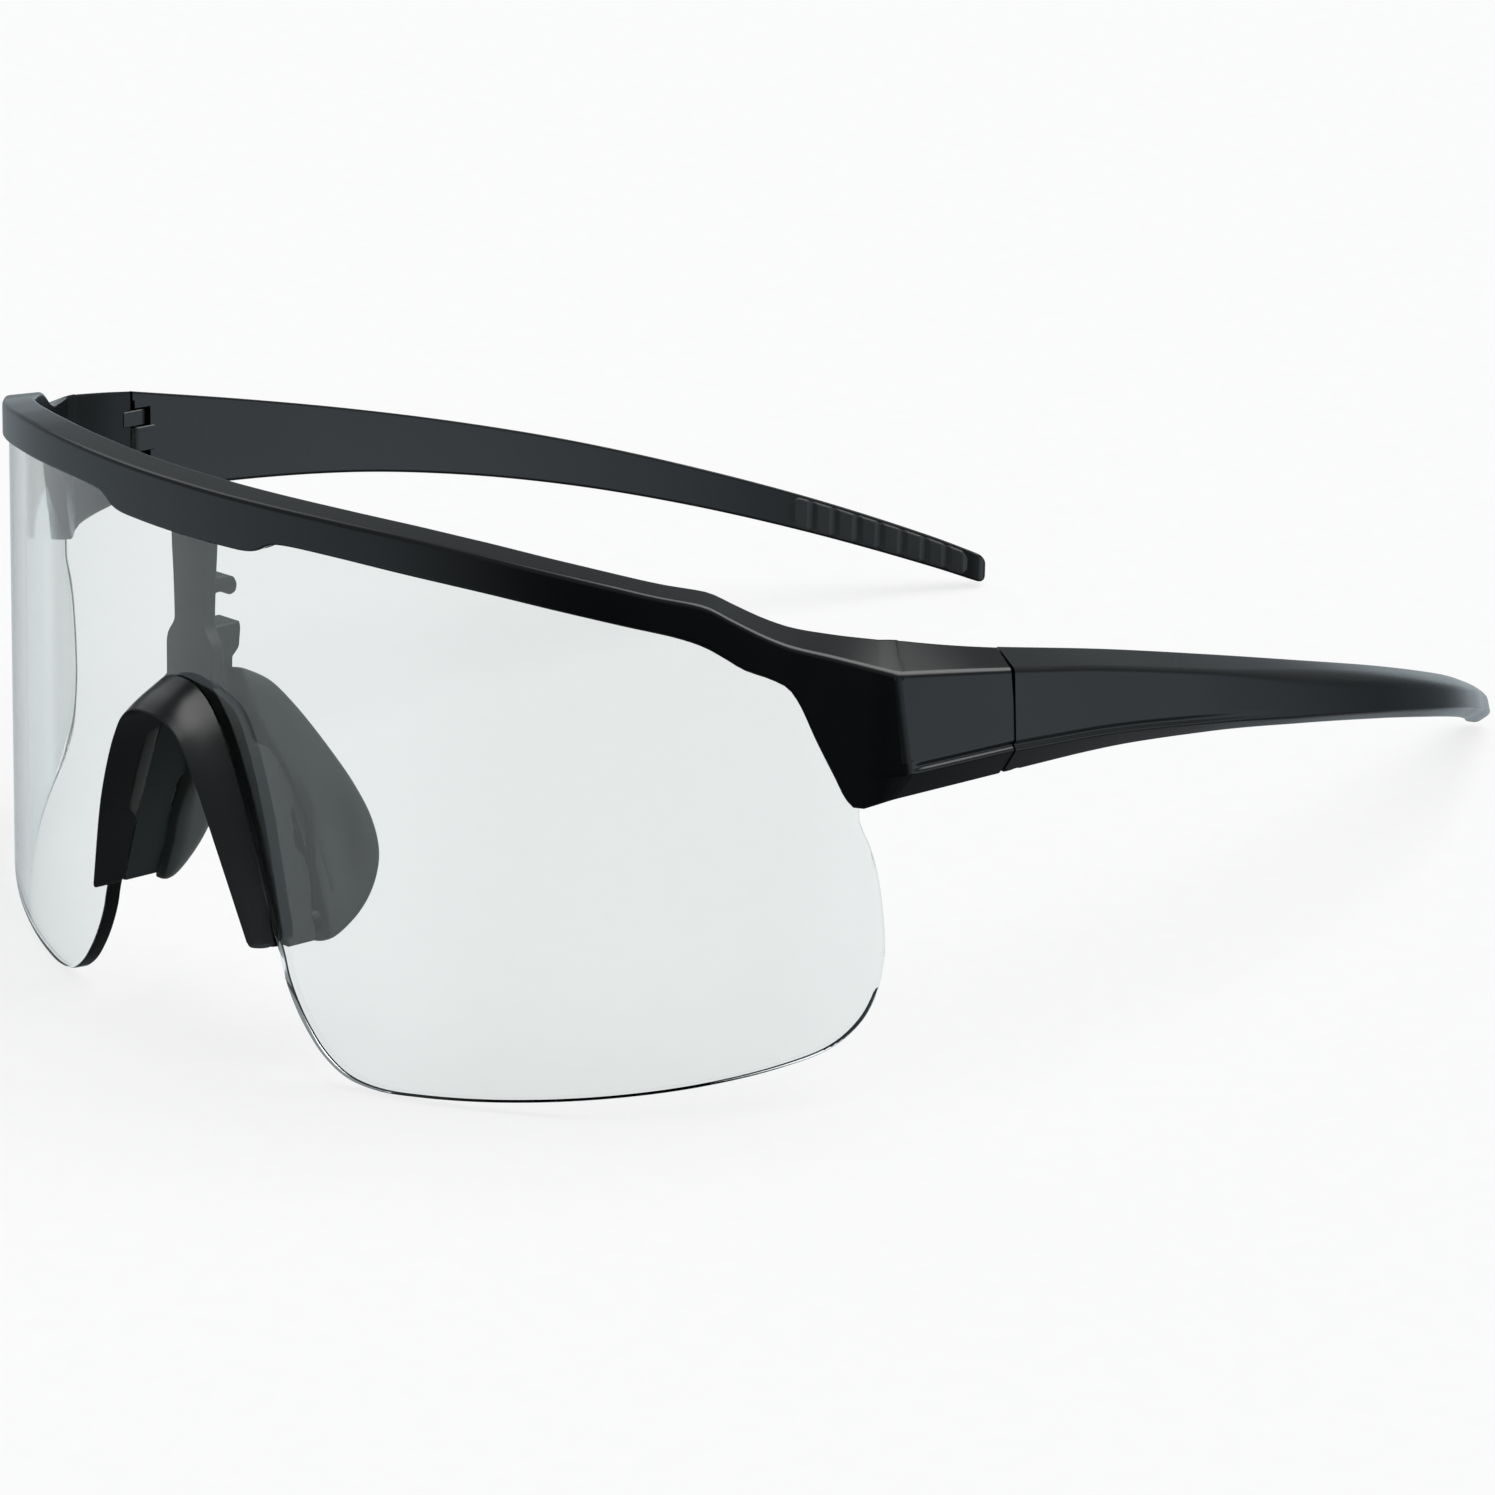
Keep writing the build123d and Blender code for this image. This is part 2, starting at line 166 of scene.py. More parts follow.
# ---- lens curve in plan ----
def arc_centres():
    arcs = []
    x, y = 0.0, LENS_ARCS[0][0]
    start = 0.0
    last_r = LENS_ARCS[0][0]
    for r, end in LENS_ARCS:
        x += (last_r - r) * sin(radians(start))
        y -= (last_r - r) * cos(radians(start))
        arcs.append((x, y, r, start))
        start, last_r = end, r
    return arcs


ARCS = arc_centres()


def lens_angle(x, offset=0.0):
    """Plan angle at which the offset lens curve has this x, in radians."""
    for cx, cy, r, start in reversed(ARCS):
        if abs(x) >= cx + (r + offset) * sin(radians(start)):
            return asin((abs(x) - cx) / (r + offset)) * (1 if x >= 0 else -1)
    return 0.0


def lens_y(x, offset=0.0):
    for cx, cy, r, start in reversed(ARCS):
        if abs(x) >= cx + (r + offset) * sin(radians(start)):
            return cy - sqrt((r + offset) ** 2 - (abs(x) - cx) ** 2)
    return 0.0


def lens_point(x, z, offset):
    """The point on the lens front with this x, moved out along the lens's normal."""
    a = lens_angle(x)
    return Vector((x + offset * sin(a), lens_y(x) - offset * cos(a), z))


# ---- meshes from rings ----
def corner(before, at, after, radius, steps=3):
    """A rounded corner between two straight edges; it takes under half of each edge."""
    a = at + (before - at) * min(0.48, radius / max((before - at).length, 1e-6))
    b = at + (after - at) * min(0.48, radius / max((after - at).length, 1e-6))
    out = []
    for n in range(steps + 1):
        t = n / steps
        out.append(a * (1 - t) ** 2 + at * 2 * t * (1 - t) + b * t * t)
    return out


def rounded(points, radii, steps=3):
    """Closed ring with each corner rounded by its own radius."""
    out = []
    n = len(points)
    for i in range(n):
        out += corner(points[i - 1], points[i], points[(i + 1) % n], radii[i], steps)
    return out


def mirror(rings):
    return [[Vector((-p.x, p.y, p.z)) for p in ring] for ring in rings]


def same(rings):
    """The left side's counterpart of mirror."""
    return rings


def whole(half):
    """Rings of the left half, from the middle out, with the right half before them."""
    return mirror(half)[:0:-1] + half


def soft_ends(rings, size):
    """Round the first and the last end of a lofted piece over this radius."""
    def cap(end, before):
        middle = sum(end, Vector()) / len(end)
        back = (sum(before, Vector()) / len(before) - middle).normalized()
        turned = []
        for n in range(4):
            a = n * pi / 6
            lift = back * size * (1 - sin(a))
            inset = size * (1 - cos(a))
            turned.append([p + lift + (middle - p).normalized() * inset for p in end])
        return turned
    first = cap(rings[0], rings[1])
    last = cap(rings[-1], rings[-2])
    return first[::-1] + rings[1:-1] + last


def add_rings(bm, rings):
    """A skin over the rings, closed at both ends."""
    rows = []
    for ring in rings:
        rows.append([bm.verts.new(place(p)) for p in ring])
    for a, b in zip(rows[:-1], rows[1:]):
        count = len(a)
        for i in range(count):
            j = (i + 1) % count
            bm.faces.new((a[i], a[j], b[j], b[i]))
    bm.faces.new(rows[0][::-1])
    bm.faces.new(rows[-1])


SHARP = 35.0                         # degrees: steeper edges are shaded as edges


def finish_mesh(bm, name, sharp):
    bmesh.ops.remove_doubles(bm, verts=bm.verts, dist=2e-6)
    bmesh.ops.dissolve_degenerate(bm, edges=bm.edges, dist=1e-6)
    bmesh.ops.recalc_face_normals(bm, faces=bm.faces)
    mesh = bpy.data.meshes.new(name)
    bm.to_mesh(mesh)
    bm.free()
    for polygon in mesh.polygons:
        polygon.use_smooth = True
    mesh.set_sharp_from_angle(angle=radians(sharp))
    obj = bpy.data.objects.new(name, mesh)
    scene.collection.objects.link(obj)
    return obj


def loft(name, ring_sets, sharp=SHARP):
    """One object from one or more closed lofts."""
    bm = bmesh.new()
    for rings in ring_sets:
        add_rings(bm, rings)
    return finish_mesh(bm, name, sharp)


def carve(obj, cutters):
    """Takes closed solids, each a list of rings, out of obj."""
    for rings in cutters:
        cutter = loft("cutter", [rings])
        change = obj.modifiers.new("carve", "BOOLEAN")
        change.operation = "DIFFERENCE"
        change.solver = "EXACT"
        change.object = cutter
        graph_now = bpy.context.evaluated_depsgraph_get()
        carved = bpy.data.meshes.new_from_object(obj.evaluated_get(graph_now))
        obj.modifiers.clear()
        old = obj.data
        obj.data = carved
        carved.name = old.name
        bpy.data.meshes.remove(old)
        bpy.data.objects.remove(cutter)
    for polygon in obj.data.polygons:
        polygon.use_smooth = True
    obj.data.set_sharp_from_angle(angle=radians(SHARP))


def join(target, extra):
    """Adds extra's mesh to target's."""
    bm = bmesh.new()
    bm.from_mesh(target.data)
    bm.from_mesh(extra.data)
    bm.to_mesh(target.data)
    bm.free()
    bpy.data.objects.remove(extra)


def settle(obj, body, slot, material, *nodes):
    """Even shading, finish, body and CAD nodes of a finished piece."""
    shade = obj.modifiers.new("shade", "WEIGHTED_NORMAL")
    shade.keep_sharp = True
    shade.weight = 60
    obj.data.materials.clear()
    obj.data.materials.append(material)
    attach(obj, body)
    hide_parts(*nodes)


def block(low, high, soft=0.15):
    """Rings of a small block with softened edges."""
    (x0, y0, z0), (x1, y1, z1) = low, high
    rings = []
    for z, inset in ((z0, soft), (z0 + soft, 0), (z1 - soft, 0), (z1, soft)):
        ring = [Vector((x0 + inset, y0 + inset, z)), Vector((x1 - inset, y0 + inset, z)),
                Vector((x1 - inset, y1 - inset, z)), Vector((x0 + inset, y1 - inset, z))]
        rings.append(rounded(ring, [soft] * 4))
    return rings


def side_plate(outline, low_x, high_x, soft=0.15, corner_radius=0.25):
    """Rings of a plate drawn in the side view (y, z) and run along X."""
    middle = sum((Vector((0, y, z)) for y, z in outline), Vector()) / len(outline)
    rings = []
    for x, inset in ((low_x, soft), (low_x + soft, 0), (high_x - soft, 0), (high_x, soft)):
        ring = []
        for y, z in outline:
            p = Vector((0, y, z))
            p += (middle - p).normalized() * inset
            ring.append(Vector((x, p.y, p.z)))
        rings.append(rounded(ring, [corner_radius] * len(ring)))
    return rings


def round_plan(centre, radius, low, high, count=32, soft=0.12):
    """Rings of an upright round bar with softened ends."""
    rings = []
    for z, r in ((low, radius - soft), (low + soft, radius), (high - soft, radius),
                 (high, radius - soft)):
        rings.append([Vector((centre[0] + r * cos(2 * pi * n / count),
                              centre[1] + r * sin(2 * pi * n / count), z)) for n in range(count)])
    return rings


# ---- materials ----
def new_material(name):
    material = bpy.data.materials.new(name)
    material.use_nodes = True
    tree = material.node_tree
    return material, tree, tree.nodes["Principled BSDF"]


def noise(tree, scale, detail=3.0, rough=0.5):
    """Cloudy 0 to 1 texture, fixed to the piece."""
    place_node = tree.nodes.get("where") or tree.nodes.new("ShaderNodeTexCoord")
    place_node.name = "where"
    node = tree.nodes.new("ShaderNodeTexNoise")
    node.inputs["Scale"].default_value = scale
    node.inputs["Detail"].default_value = detail
    node.inputs["Roughness"].default_value = rough
    tree.links.new(place_node.outputs["Object"], node.inputs["Vector"])
    return node.outputs["Fac"]


def spread(tree, value, low, high):
    """A 0 to 1 texture value as a range of numbers."""
    node = tree.nodes.new("ShaderNodeMapRange")
    node.inputs["From Min"].default_value = 0.3
    node.inputs["From Max"].default_value = 0.7
    node.inputs["To Min"].default_value = low
    node.inputs["To Max"].default_value = high
    tree.links.new(value, node.inputs["Value"])
    return node.outputs["Result"]


def tones(tree, value, dark, light):
    """A 0 to 1 texture value as a colour between two tones."""
    node = tree.nodes.new("ShaderNodeMix")
    node.data_type = "RGBA"
    node.inputs["A"].default_value = (*dark, 1)
    node.inputs["B"].default_value = (*light, 1)
    tree.links.new(spread(tree, value, 0.0, 1.0), node.inputs["Factor"])
    return node.outputs["Result"]


def bump(tree, shader, value, distance):
    """Surface relief of this height, in metres."""
    node = tree.nodes.new("ShaderNodeBump")
    node.inputs["Distance"].default_value = distance
    tree.links.new(value, node.inputs["Height"])
    tree.links.new(node.outputs["Normal"], shader.inputs["Normal"])


def moulded_plastic(name, dark, light, rough):
    """Satin injection-moulded plastic: fine spark grain and slightly uneven gloss."""
    material, tree, shader = new_material(name)
    cloudy = noise(tree, 60.0, 2.0)
    grain = noise(tree, 9000.0, 2.0)
    tree.links.new(tones(tree, cloudy, dark, light), shader.inputs["Base Color"])
    tree.links.new(spread(tree, cloudy, rough - 0.02, rough + 0.03), shader.inputs["Roughness"])
    shader.inputs["IOR"].default_value = 1.5
    bump(tree, shader, grain, 2.5e-6)
    return material


def clear_lens():
    """Polycarbonate shield, very slightly green-grey, with faint moulding waves."""
    material, tree, shader = new_material("lens_clear")
    waves = noise(tree, 25.0, 1.0)
    haze = noise(tree, 400.0, 4.0)
    tree.links.new(tones(tree, waves, LENS_TINT[0], LENS_TINT[1]), shader.inputs["Base Color"])
    tree.links.new(spread(tree, haze, 0.0, 0.02), shader.inputs["Roughness"])
    shader.inputs["Transmission Weight"].default_value = 1.0
    shader.inputs["IOR"].default_value = 1.52
    shader.inputs["Specular IOR Level"].default_value = 0.16
    bump(tree, shader, waves, 6e-6)
    return material


# Painted shade: forward-looking faces are darkened in colour, standing in for the bracket's
# shadow on the pads.
SHADE_FACING = (-0.66, -0.42)        # normal's Y where the darkening is full, and where it ends


def painted_front_shade(tree, colour, share):
    """Painted shade: darkens faces that look forwards, standing in for the bracket's shadow on
    the pads, which stand close behind it.

    The share is what is left of the colour there; Y is the face's backward direction.
    """
    normal = tree.nodes.new("ShaderNodeNewGeometry").outputs["True Normal"]
    parts = tree.nodes.new("ShaderNodeSeparateXYZ")
    tree.links.new(normal, parts.inputs["Vector"])
    factor = tree.nodes.new("ShaderNodeMapRange")
    factor.inputs["From Min"].default_value = SHADE_FACING[0]
    factor.inputs["From Max"].default_value = SHADE_FACING[1]
    factor.inputs["To Min"].default_value = share
    factor.inputs["To Max"].default_value = 1.0
    tree.links.new(parts.outputs["Y"], factor.inputs["Value"])
    scale = tree.nodes.new("ShaderNodeVectorMath")
    scale.operation = "SCALE"
    tree.links.new(colour, scale.inputs[0])
    tree.links.new(factor.outputs["Result"], scale.inputs["Scale"])
    return scale.outputs["Vector"]


def soft_rubber(name, dark, light, rough, front_shade_share=1.0):
    """Matt rubber: mottled tone, powdery surface and a little sheen; with a front share under 1,
    painted shade on the faces that look forwards.
    """
    material, tree, shader = new_material(name)
    cloudy = noise(tree, 180.0, 5.0, 0.6)
    fine = noise(tree, 6000.0, 3.0)
    colour = tones(tree, cloudy, dark, light)
    # painted shade on the faces that look forwards, for the bracket's shadow
    if front_shade_share < 1.0:
        colour = painted_front_shade(tree, colour, front_shade_share)
    tree.links.new(colour, shader.inputs["Base Color"])
    tree.links.new(spread(tree, cloudy, rough - 0.05, rough + 0.06), shader.inputs["Roughness"])
    shader.inputs["Sheen Weight"].default_value = 0.15
    shader.inputs["Sheen Roughness"].default_value = 0.4
    bump(tree, shader, fine, 6e-6)
    return material


def turned_metal(name, dark, light, rough):
    """Small machined hardware with fine turning marks."""
    material, tree, shader = new_material(name)
    where = tree.nodes.new("ShaderNodeTexCoord")
    marks = tree.nodes.new("ShaderNodeTexWave")
    marks.wave_type = "BANDS"
    marks.bands_direction = "Z"
    marks.inputs["Scale"].default_value = 3000.0
    marks.inputs["Distortion"].default_value = 2.0
    tree.links.new(where.outputs["Object"], marks.inputs["Vector"])
    tree.links.new(tones(tree, marks.outputs["Fac"], dark, light), shader.inputs["Base Color"])
    tree.links.new(spread(tree, marks.outputs["Fac"], rough, rough + 0.12),
                   shader.inputs["Roughness"])
    shader.inputs["Metallic"].default_value = 1.0
    bump(tree, shader, marks.outputs["Fac"], 3e-6)
    return material


LENS_TINT = [(0.840, 0.868, 0.862), (0.854, 0.880, 0.874)]

MATERIALS = {
    "frame_plastic": moulded_plastic("frame_black", (0.0010, 0.0013, 0.0015),
                                     (0.0018, 0.0022, 0.0025), 0.26),
    "lens": clear_lens(),
    "cover_plastic": moulded_plastic("cover_black", (0.0010, 0.0012, 0.0014),
                                     (0.0018, 0.0021, 0.0024), 0.28),
    "bracket_plastic": moulded_plastic("bracket_grey", (0.0030, 0.0055, 0.0053),
                                       (0.0050, 0.0080, 0.0077), 0.6),
    # the pads carry painted shade on their forward-looking faces, for the shadow of the bracket
    "pad_rubber": soft_rubber("pad_rubber", (0.0120, 0.0155, 0.0148),
                              (0.0210, 0.0265, 0.0250), 0.6, front_shade_share=0.2),
    "grip_rubber": soft_rubber("grip_rubber", (0.009, 0.011, 0.012), (0.014, 0.016, 0.017), 0.5),
    "screw_steel": turned_metal("screw_steel", (0.42, 0.42, 0.43), (0.58, 0.58, 0.60), 0.25),
    "insert_brass": turned_metal("insert_brass", (0.52, 0.36, 0.14), (0.66, 0.48, 0.22), 0.28),
}

# ---- outlines seen from the front: x outwards, z up ----
BROW_LOW = [(0, -3.5), (7, -3.45), (10.6, -3.35), (12.2, -3.0), (14.0, -2.1), (15.6, -1.85),
            (22, -1.9), (30, -2.4), (38.6, -3.2), (45.4, -4.2), (51.6, -5.3), (55.9, -6.2),
            (57.9, -7.0), (59.3, -8.0), (60.85, -9.25), (62.6, -10.05), (63.9, -10.9),
            (64.7, -12.3), (66.12, -16.5), (67.46, -20.2), (68.3, -22.5), (68.95, -23.4),
            (69.6, -23.4), (70.3, -23.05)]
BROW_TOP = [(0, 2.15), (10, 2.1), (18, 2.0), (28, 1.65), (37, 0.9), (45.4, -0.3), (50, -1.1),
            (54.4, -2.0), (57.2, -2.5), (58.1, -2.8), (60, -4.1), (62.4, -5.7), (64.1, -6.6),
            (67.2, -7.6), (70.3, -8.7)]
LENS_LOW = [(0, -20), (1.8, -20.3), (3.5, -21.3), (4.8, -22.9), (6.4, -26.5), (9.6, -34.5),
            (12.2, -40.6), (14.5, -46), (15.3, -48.7), (16.6, -51.4), (18.2, -53.8),
            (20.4, -56.2), (23.3, -58), (27, -58.7), (32.1, -58.5), (40.5, -57.6), (49.7, -56),
            (57.8, -53.9), (63.3, -51.7), (66.4, -49.7), (68.1, -47), (69.0, -43.5),
            (69.3, -39.8)]
LENS_SIDE = [(67.5, -24.1), (67.9, -26.3), (68.4, -28.4), (68.9, -32.2), (69.2, -36.5),
             (69.3, -39.8)]
LENS_IN_BROW = 1.2                   # the lens's hidden top edge, below the brow's top
SLOT_IN_BROW = 1.1                   # the slot's ceiling, below the brow's top
SHOULDER_X = 62                      # past this x the top edge drops under the end-piece
LENS_SOFT = 0.3                      # rounding of the lens's edges


# ---- lens ----
def lens_rings():
    """Upright sections of the shield, from its lower edge up to its top or side edge."""
    low = walk(from_middle(LENS_LOW), 0.55)
    top = graph([(x, z - LENS_IN_BROW) for x, z in BROW_TOP])
    end_x = LENS_SIDE[0][0]
    side_path = through(LENS_SIDE)
    rings = []
    soft = LENS_SOFT
    q = 0.29                         # inset of the middle of the rounding
    for i, p in enumerate(low):
        ahead = low[min(i + 1, len(low) - 1)]
        behind = low[max(i - 1, 0)]
        along = (ahead - behind).normalized()
        if i == 0:
            along = Vector((1, 0))
        inward = Vector((-along.y, along.x))
        x, z = p
        if x < end_x:
            up = Vector((x, top(x) if x < SHOULDER_X else min(top(x), -8.5)))
            up_in = up.copy()
        else:
            k = min(range(len(side_path) - 1), key=lambda n: abs(side_path[n].x - x))
            a, b = side_path[k], side_path[k + 1]
            t = 0 if abs(b.x - a.x) < 1e-6 else (x - a.x) / (b.x - a.x)
            up = a.lerp(b, min(max(t, -1.0), 1.5))
            run = (b - a).normalized()
            up_in = up + Vector((run.y, -run.x)) * soft
        low_in = p + inward * soft
        low_mid = p + inward * soft * q
        up_mid = up.lerp(up_in, q)
        ring = [lens_point(p.x, p.y, -soft), lens_point(low_mid.x, low_mid.y, -soft * q),
                lens_point(low_in.x, low_in.y, 0.0),
                lens_point(up_in.x, up_in.y, 0.0), lens_point(up_mid.x, up_mid.y, -soft * q),
                lens_point(up.x, up.y, -soft), lens_point(up.x, up.y, soft - LENS_T),
                lens_point(up_mid.x, up_mid.y, soft * q - LENS_T),
                lens_point(up_in.x, up_in.y, -LENS_T),
                lens_point(low_in.x, low_in.y, -LENS_T),
                lens_point(low_mid.x, low_mid.y, soft * q - LENS_T),
                lens_point(p.x, p.y, soft - LENS_T)]
        rings.append(ring)
    return whole(rings)


# ---- brow and end-pieces ----
# T top front edge, P and L lower front edges, K lower rear edge, R top rear edge
GROOVE_SPAN = 1.0                    # the line along the lower edge of the side faces
GROOVE_DEPTH = 0.34
PANEL_LOW = 0.22                     # height of P between L and T, on the brow
SLOT_END_X = 67.6                    # the lens slot ends here
BROW_END_DEPTH = 4.6
CREASE_TOP = Vector((71.7, 34.5, -9.2))
CREASE_LOW = Vector((73.2, 35.0, -19.4))
JOINT = {"T": Vector((75.0, 47.2, -10.2)), "P": Vector((76.0, 47.4, -18.5)),
         "L": Vector((73.0, 47.9, -21.9)), "K": Vector((71.4, 48.5, -21.2)),
         "R": Vector((71.3, 48.6, -8.8))}


def brow_face(x):
    """Plan point and outward direction of the brow's front face."""
    start = lens_point_angle(STRAIGHT_FROM, FLANGE_PROUD)
    if x <= start.x:
        a = lens_angle(x, FLANGE_PROUD)
        return Vector((x, lens_y(x, FLANGE_PROUD), 0)), Vector((sin(a), -cos(a), 0))
    d = x - start.x
    slope = tan(radians(STRAIGHT_FROM)) + 2 * STRAIGHT_BEND * d
    a = atan(slope)
    y = start.y + tan(radians(STRAIGHT_FROM)) * d + STRAIGHT_BEND * d * d
    return Vector((x, y, 0)), Vector((sin(a), -cos(a), 0))


def lens_point_angle(angle, offset):
    a = radians(angle)
    cx, cy, r, start = [arc for arc in ARCS if radians(arc[3]) <= a][-1]
    return Vector((cx + (r + offset) * sin(a), cy - (r + offset) * cos(a), 0))


def front_section(T, P, L, K, R, slot, groove):
    """Ring of the front moulding; slot is (front, rear, top) or None where it is solid."""
    up = (T - P).normalized()
    out = (P - K)
    out.z = 0
    out.normalize()
    p1 = P + up * GROOVE_SPAN
    p2 = P + up * GROOVE_SPAN * 0.5 - out * groove
    if slot:
        front, rear, top = slot
        s1 = front.copy()
        s2 = Vector((front.x, front.y, top))
        s3 = Vector((rear.x, rear.y, top))
        s4 = rear.copy()
    else:
        s1 = L.lerp(K, 0.3)
        s2 = L.lerp(K, 0.45)
        s3 = L.lerp(K, 0.6)
        s4 = L.lerp(K, 0.75)
    points = [T, p1, p2, P, L, s1, s2, s3, s4, K, R]
    radii = [0.5, 0.2, 0.22, 0.3, 0.3, 0.08, 0.02, 0.02, 0.12, 0.35, 0.45]
    return rounded(points, radii, 4)


def brow_rings():
    """Sections from the middle of the brow to the start of the end-piece."""
    low = walk(through(BROW_LOW), 0.8)
    top = graph(BROW_TOP)
    depth = graph([(0, 3.6), (50, 3.6), (56, 3.9), (60, 4.4), (66, 4.4),
                   (70.3, BROW_END_DEPTH)])
    rear_lift = graph([(0, 0.45), (50, 0.45), (58, 0.5), (61, 0.65), (64, 0.95), (67, 1.3),
                       (70.3, 2.0)])
    ceiling = graph([(x, z - SLOT_IN_BROW) for x, z in BROW_TOP])
    rings = []
    for x, z in low:
        at, out = brow_face(x)
        T = Vector((at.x, at.y, top(x)))
        L = Vector((at.x, at.y, z))
        back = at - out * depth(x)
        K = Vector((back.x, back.y, z + 0.1))
        R = Vector((back.x, back.y, top(x) + rear_lift(x)))
        P = L.lerp(T, PANEL_LOW)
        slot = None
        if x < SLOT_END_X:
            front = at - out * (FLANGE_PROUD - SLOT_GAP)
            rear = at - out * (FLANGE_PROUD + LENS_T + SLOT_GAP)
            slot = (Vector((front.x, front.y, z)), Vector((rear.x, rear.y, z)),
                    max(z + 0.05, ceiling(x) if x < SHOULDER_X else min(ceiling(x), -8.4)))
        rings.append(front_section(T, P, L, K, R, slot, 0.0))
    return rings


def crease_rings(start, crease):
    """The crease is a small round: sections along a curve that cuts its corner."""
    rings = []
    for k in (0.0, 0.25, 0.5, 0.75, 1.0):
        section = {}
        for key in "TPLKR":
            at = crease[key]
            r = 0.55 if key in "TPL" else 0.6
            p = at.lerp(start[key], min(0.4, r / (at - start[key]).length))
            q = at.lerp(JOINT[key], min(0.4, r / (JOINT[key] - at).length))
            section[key] = p * (1 - k) ** 2 + at * 2 * k * (1 - k) + q * k * k
        rings.append(front_section(*[section[key] for key in "TPLKR"], None, 0.0))
    return rings


def end_rings(last_x):
    """From the end of the brow face, round the crease and back to the hinge."""
    at, out = brow_face(last_x)
    z_low = BROW_LOW[-1][1]
    z_top = BROW_TOP[-1][1]
    back = at - out * BROW_END_DEPTH
    start = {"T": Vector((at.x, at.y, z_top)), "L": Vector((at.x, at.y, z_low)),
             "K": Vector((back.x, back.y, z_low + 0.1)), "R": Vector((back.x, back.y, -6.7))}
    start["P"] = start["L"].lerp(start["T"], PANEL_LOW)
    crease = {"T": CREASE_TOP, "P": CREASE_LOW, "L": Vector((71.3, 34.6, -22.5)),
              "K": Vector((67.6, 37.5, -22.3)), "R": Vector((67.6, 37.5, -6.8))}
    wall = through([(start["R"].x, start["R"].y), (67.6, 37.5), (69.1, 40.9), (70.4, 44.7),
                    (JOINT["R"].x, JOINT["R"].y)], 10)[10:]
    rings = []
    marks = []
    for n in range(1, 6):
        marks.append((start, crease, n / 6.2))
    for t in (0.0, 0.02, 0.045, 0.08, 0.13, 0.2, 0.3, 0.4, 0.5, 0.6, 0.7, 0.8, 0.9, 1.0):
        marks.append((crease, JOINT, t))
    for a, b, t in marks:
        if a is crease and t == 0.0:
            rings += crease_rings(start, crease)
            continue
        section = {}
        for key in "TPLKR":
            section[key] = a[key].lerp(b[key], t)
        if a is crease:
            spot = wall[round(t * (len(wall) - 1))]
            for key in "KR":
                section[key] = Vector((spot.x, spot.y, section[key].z))
        groove = 0.0
        if a is crease:
            groove = GROOVE_DEPTH * ease(t / 0.12)
        rings.append(front_section(*[section[key] for key in "TPLKR"], None, groove))
    return rings


KNUCKLE_R = 1.35
KNUCKLE_GAP = 0.2
FRAME_KNUCKLES = [(-18.6, -16.5), (-13.1, -11.2)]
TONGUE = (-16.3, -13.3)
TEMPLE_WALL_X = 73.85                # inside of the temple's outer wall at the hinge


def knuckle(low, high, y_from):
    """Rings of a knuckle round the hinge pin with a flat arm that ends at y_from."""
    x, y = HINGE.x, HINGE.y
    side = -1 if y_from > y else 1
    ring = [Vector((x - KNUCKLE_R, y_from, 0)), Vector((x + KNUCKLE_R, y_from, 0))]
    for n in range(21):
        a = side * pi * n / 20
        ring.append(Vector((x + KNUCKLE_R * cos(a), y + KNUCKLE_R * sin(a), 0)))
    rings = []
    for z, k in ((low, 0.93), (low + 0.1, 1.0), (high - 0.1, 1.0), (high, 0.93)):
        rings.append([Vector((x + (p.x - x) * k, y + (p.y - y) * k, z)) for p in ring])
    return rings


def make_front():
    brow = brow_rings()
    front = loft("brow_frame", [whole(brow + end_rings(BROW_LOW[-1][0]))])
    # room for the screw's shaft and head
    bore = round_plan((HINGE.x, HINGE.y), 0.62, -20.0, -11.5)
    head = round_plan((HINGE.x, HINGE.y), 1.07, -20.0, -17.88)
    for low, high in FRAME_KNUCKLES:
        for flip in (same, mirror):
            fork = loft("knuckle", [flip(knuckle(low, high, 47.4))])
            carve(fork, [flip(bore), flip(head)])
            join(front, fork)
    settle(front, "front", "frame_plastic", MATERIALS["frame_plastic"], "frame_front")


def make_lens():
    lens = loft("shield_lens", [lens_rings()], 40.0)
    settle(lens, "front", "lens", MATERIALS["lens"], "lens")


# ---- temples: distance from the hinge, then x, y, top and bottom of the inner edge ----
TEMPLE_KEYS = [(0, 71.3, 48.86, -8.8, -21.1), (16, 70.75, 65.0, -12.0, -22.0),
               (32, 70.4, 81.1, -15.5, -23.6), (48, 69.1, 97.1, -19.3, -26.1),
               (64, 65.9, 112.8, -23.4, -29.3), (80, 60.6, 128.0, -28.0, -33.2),
               (96, 53.2, 142.2, -32.9, -37.6), (112, 44.4, 155.6, -38.4, -42.5),
               (119.6, 40.0, 161.3, -41.2, -44.9)]
TEMPLE_END = TEMPLE_KEYS[-1][0]


def temple_frame():
    """Smooth inner line, as a function from the distance along it.

    It gives the point, the directions outwards and along, and the top and bottom.
    """
    line = through([(row[1], row[2], row[0]) for row in TEMPLE_KEYS], 16)
    x_at = [(p.z, p.x) for p in line]
    y_at = [(p.z, p.y) for p in line]
    top = graph([(row[0], row[3]) for row in TEMPLE_KEYS])
    low = graph([(row[0], row[4]) for row in TEMPLE_KEYS])

    def look(table, s):
        s = min(max(s, table[0][0]), table[-1][0])
        for (a, va), (b, vb) in zip(table[:-1], table[1:]):
            if s <= b:
                return va + (vb - va) * (s - a) / (b - a)
        return table[-1][1]

    def at(s):
        x, y = look(x_at, s), look(y_at, s)
        dx = look(x_at, s + 2) - look(x_at, s - 2)
        dy = look(y_at, s + 2) - look(y_at, s - 2)
        along = Vector((dx, dy, 0)).normalized()
        return Vector((x, y, 0)), Vector((along.y, -along.x, 0)), along, top(s), low(s)
    return at


